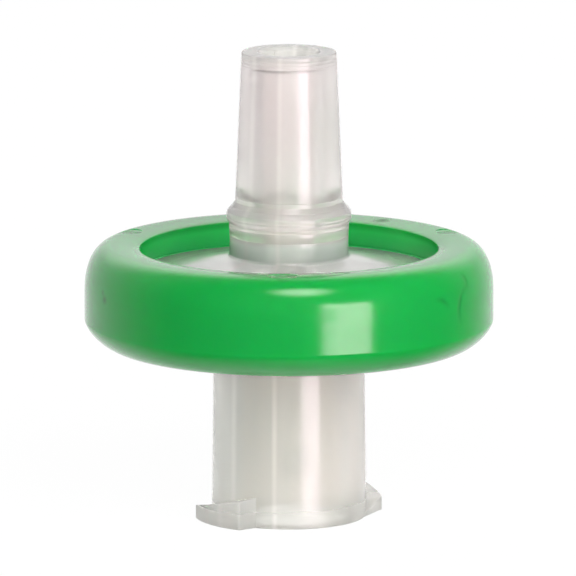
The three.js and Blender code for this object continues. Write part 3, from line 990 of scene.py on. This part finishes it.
# %% Places and marks on the ring
FOLD_WIDTH = 0.2
RUB_ANGLE = 55  # degrees from +X, of a rubbed patch inside the crest


def on_ring(angle, drop=0, radius=RING_R):
    """A place on the ring, at an angle in degrees from +X, so far under its crest."""
    a = math.radians(angle)
    return (radius * math.cos(a), radius * math.sin(a), CREST_Z - drop)


def melt_fold(recipe):
    """Three short curls, where two fronts of the melt met: a crease in the relief, darkened with
    painted shade.
    """
    upper = recipe.curl(on_ring(-32, 0.78), 0.43, FOLD_WIDTH) * recipe.near(on_ring(-29, 0.68), 0.6)
    middle = recipe.curl(on_ring(-28, 1.98), 1.0, FOLD_WIDTH) * recipe.near(on_ring(-34.5, 1.58), 1.2)
    lower = recipe.curl(on_ring(-44.6, 2.28), 1.0, FOLD_WIDTH) * recipe.near(on_ring(-41.5, 1.38), 0.6)
    return upper + middle + lower


def matt_spots(recipe):
    """The rubbed patch and the three trimmed gates."""
    spots = 1.2 * recipe.near(on_ring(RUB_ANGLE, radius=CREST_R - 0.5), 0.55)
    for angle in GATE_ANGLES:
        spots = spots + 0.5 * recipe.near(on_ring(angle, radius=CREST_R), 0.7)
    return spots


# %% Green plastic
DEEP_GREEN = (0.003, 0.225, 0.033, 1)
LIGHT_GREEN = (0.008, 0.272, 0.046, 1)
INNER_WALL_LIGHT_GREEN = (0.012, 0.36, 0.065, 1)  # painted light: the inner wall, painted lighter as if lit through the rim
SPECK_AND_FOLD_SHADE_GREEN = (0.004, 0.07, 0.016, 1)  # the speck's own colour, and painted shade along the fold
SCAR_GREEN = (0.02, 0.13, 0.03, 1)


def ring_tint(recipe, waves):
    """Slow waves of green, and a band of painted light on the inner wall."""
    tint = recipe.blend(waves, DEEP_GREEN, LIGHT_GREEN)
    over_plate = recipe.rising(TOPSIDE_Z - 0.5, TOPSIDE_Z - 0.3)
    under_crest = 1 - recipe.rising(CREST_Z - 0.5, CREST_Z - 0.2)
    wall_painted_light = recipe.blend(over_plate * under_crest, DEEP_GREEN, INNER_WALL_LIGHT_GREEN)
    return recipe.blend(recipe.outwards(WINDOW_R + 0.1, WINDOW_R + 0.6), wall_painted_light, tint)


def green_plastic():
    """The ring's plastic."""
    material, recipe, shader = new_material("green polypropylene")
    waves = recipe.noise(recipe.stretched((1, 1, 0.6)), 140)
    fine = recipe.noise(recipe.place(), 1900, detail=4.0)
    fold, spots = melt_fold(recipe), matt_spots(recipe)
    speck = recipe.near(on_ring(-153.5, 1.68), 0.3) + 0.8 * recipe.near(on_ring(-155, 1.4), 0.2)
    tint = recipe.blend(0.8 * spots, ring_tint(recipe, waves), SCAR_GREEN)
    recipe.feed(shader, {
        # the speck is its own dark colour; the fold is darkened with painted shade along its crease
        "Base Color": recipe.blend(0.4 * fold + 0.6 * speck, tint, SPECK_AND_FOLD_SHADE_GREEN),
        "Roughness": 0.1 + 0.1 * fine + 0.35 * spots,
        "IOR": 1.5,
        "Subsurface Weight": 0.8,
        "Subsurface Radius": (0.15, 1.0, 0.35),
        "Subsurface Scale": 1.8 * MM,
        "Normal": recipe.bump(waves + 0.02 * fine - 0.5 * fold - 0.2 * speck, 0.15, 0.15),
    })
    return material


green = green_plastic()
print(f"{green.name}: {len(green.node_tree.nodes)} nodes")

# %% [markdown]
# ## Membrane
# The membrane is white and matt, with the fibrous grain of a cast polymer film. Little of it is seen
# through the plates, so one fine noise does for tint, roughness and relief.

# %% White membrane
CREAM = (0.86, 0.84, 0.80, 1)
WHITE = (0.93, 0.92, 0.89, 1)


def white_membrane():
    """The disc's film."""
    material, recipe, shader = new_material("white membrane")
    grain = recipe.noise(recipe.place(), 6000, detail=4.0)
    recipe.feed(shader, {
        "Base Color": recipe.blend(grain, CREAM, WHITE),
        "Roughness": 0.75 + 0.15 * grain,
        "Normal": recipe.bump(grain, 0.4, 0.02),
    })
    return material


for piece, material in ((inlet, clear), (outlet, clear), (disc, white_membrane()), (ring, green)):
    piece.data.materials.clear()
    piece.data.materials.append(material)
    print(f"{piece.name} is made of {material.name}")

# %% [markdown]
# ## Floor
# The filter stands on a large pale floor that glows, as white acrylic lit from below does, so that
# its far side melts into the background. It is kept out of reflections, which the lamps make.

# %% Floor
FLOOR_R = 3  # metres
FLOOR_SIDES = 96
FLOOR_DROP = 0.02  # mm, so that floor and foot never fight
FLOOR_GLOW = 0.97

fresh()
bpy.ops.mesh.primitive_circle_add(
    vertices=FLOOR_SIDES, radius=FLOOR_R, fill_type="NGON", location=(0, 0, -FLOOR_DROP * MM)
)
floor = bpy.context.object
floor.name = "floor"
material, recipe, shader = new_material("pale floor")
recipe.feed(shader, {
    "Base Color": (0.03, 0.03, 0.03, 1),
    "Roughness": 0.9,
    "Specular IOR Level": 0.0,
    "Emission Color": (1, 1, 1, 1),
    "Emission Strength": FLOOR_GLOW,
})
floor.data.materials.append(material)
floor.visible_glossy = False
floor.visible_diffuse = False
floor.visible_shadow = False
print(f"the floor is {floor.dimensions.x:.1f} m across")

# %% [markdown]
# ## World
# Clear plastic shows what is behind it and beside it. The world is bright behind the filter and dim
# in front of it, so that the walls get their dark edges. A white world would leave them with none.

# %% World
DIM = (0.08, 0.085, 0.085, 1)
BRIGHT = (1.05, 1.05, 1.05, 1)
LEFT_BIAS = 0.25  # how much of the brightness lies to the left

world = bpy.data.worlds.new("studio")
bpy.context.scene.world = world
world.use_nodes = True
recipe = Recipe(world.node_tree)
direction = recipe.add("ShaderNodeTexCoord", output=0)
across = recipe.add("ShaderNodeSeparateXYZ", sockets={0: direction}, output=0)
depth = recipe.add("ShaderNodeSeparateXYZ", sockets={0: direction}, output=1)
behind = recipe.soft_step(depth - LEFT_BIAS * across, -0.2, 0.9)
recipe.feed(world.node_tree.nodes["Background"], {
    "Color": recipe.blend(behind, DIM, BRIGHT),
    "Strength": 1.0,
})
print(f"{world.name}: {DIM[0]} in front, {BRIGHT[0]} behind")

# %% [markdown]
# ## Lights
# The shine on the plastic is made of reflected lamps, so each is placed where its reflection belongs.
# The window light is sharp at its edges, and the others fade towards theirs, as the cloth of a
# softbox does. Two wide lamps that no reflection shows light the plastic's own colour.

# %% Softboxes
PINKISH = (1.0, 0.86, 0.92)
ROSE = (1.0, 0.8, 0.89)


def softbox(name, direction, size, radiance, colour=(1, 1, 1), distance=0.8):
    """An area light that looks at the filter, with its size and distance in metres.

    The direction is its azimuth, from 0 in front to the right, and its elevation, in degrees.
    """
    a, e = math.radians(direction[0]), math.radians(direction[1])
    way = Vector((math.sin(a) * math.cos(e), -math.cos(a) * math.cos(e), math.sin(e)))
    light = bpy.data.lights.new(name, "AREA")
    light.shape = "RECTANGLE"
    light.size, light.size_y = size
    light.energy = radiance * math.pi * light.size * light.size_y
    light.color = colour
    lamp = bpy.data.objects.new(name, light)
    bpy.context.scene.collection.objects.link(lamp)
    lamp.location = way * distance + Vector((0, 0, FULL_HEIGHT / 2 * MM))
    lamp.rotation_euler = way.to_track_quat("Z", "Y").to_euler()
    lamp.visible_camera = False
    print(f"{name}: {light.energy:.2f} W")
    return lamp


window = softbox("window light", (36.5, 1.5), (0.29, 0.46), 9.0, ROSE)
window.visible_diffuse = False

# %% Lamps that fade towards their edges
PEAK = 1.4  # a faded lamp is brighter in its middle


def soften(light):
    """Fades an area light from its middle to its edges."""
    light.use_nodes = True
    recipe = Recipe(light.node_tree)
    place = recipe.add("ShaderNodeNewGeometry", output="Parametric")
    middle = {0: place, 1: (0.5, 0.5, 0)}
    away = recipe.add("ShaderNodeVectorMath", {"operation": "DISTANCE"}, middle, output=1)
    strength = PEAK * recipe.soft_step(away, 0.5, 0.1)
    recipe.feed(light.node_tree.nodes["Emission"], {"Strength": strength})


soft_glints = [
    softbox("window light, left", (22, 3), (0.20, 0.60), 4, PINKISH),
    softbox("window light, upper left", (23, 15), (0.20, 0.18), 5, PINKISH),
    softbox("window light, lower left", (23, -10), (0.20, 0.16), 5, PINKISH),
    softbox("overhead front light", (9, 50), (0.62, 0.54), 6.5, PINKISH, distance=0.9),
    softbox("overhead back light", (180, 42), (2.2, 1.1), 0.78, PINKISH, distance=0.9),
    softbox("glow from below", (0, -90), (1.4, 1.4), 0.5),
]
for glint in soft_glints:
    glint.visible_diffuse = False
    soften(glint.data)

# %% Lamps that no reflection shows
fill = softbox("fill light", (20, 24), (2.4, 1.1), 6.2, distance=1.2)
table = softbox("light table", (0, -90), (1.4, 1.4), 4)
for lamp in (fill, table):
    lamp.visible_glossy = False

# %% [markdown]
# ## Camera
# A long lens from well away keeps upright edges upright. The camera looks down a little, into the
# mouth of the tip and over the ring's crest.

# %% Camera
AIM = Vector((-0.042, 0, 9.618)) * MM
CAMERA_ELEVATION = math.radians(10.55)
CAMERA_DISTANCE = 0.4  # metres
SENSOR = 36  # millimetres, as the lens is
LENS = 600

camera = bpy.data.objects.new("camera", bpy.data.cameras.new("camera"))
bpy.context.scene.collection.objects.link(camera)
way = Vector((0, -math.cos(CAMERA_ELEVATION), math.sin(CAMERA_ELEVATION)))
camera.location = AIM + way * CAMERA_DISTANCE
camera.rotation_euler = way.to_track_quat("Z", "Y").to_euler()
camera.data.sensor_width = SENSOR
camera.data.lens = LENS
camera.data.clip_start = 0.01
camera.data.clip_end = 20
bpy.context.scene.camera = camera
bpy.context.scene.view_settings.view_transform = "Standard"
print(f"the view is {CAMERA_DISTANCE / MM * SENSOR / LENS:.1f} mm wide at the filter")
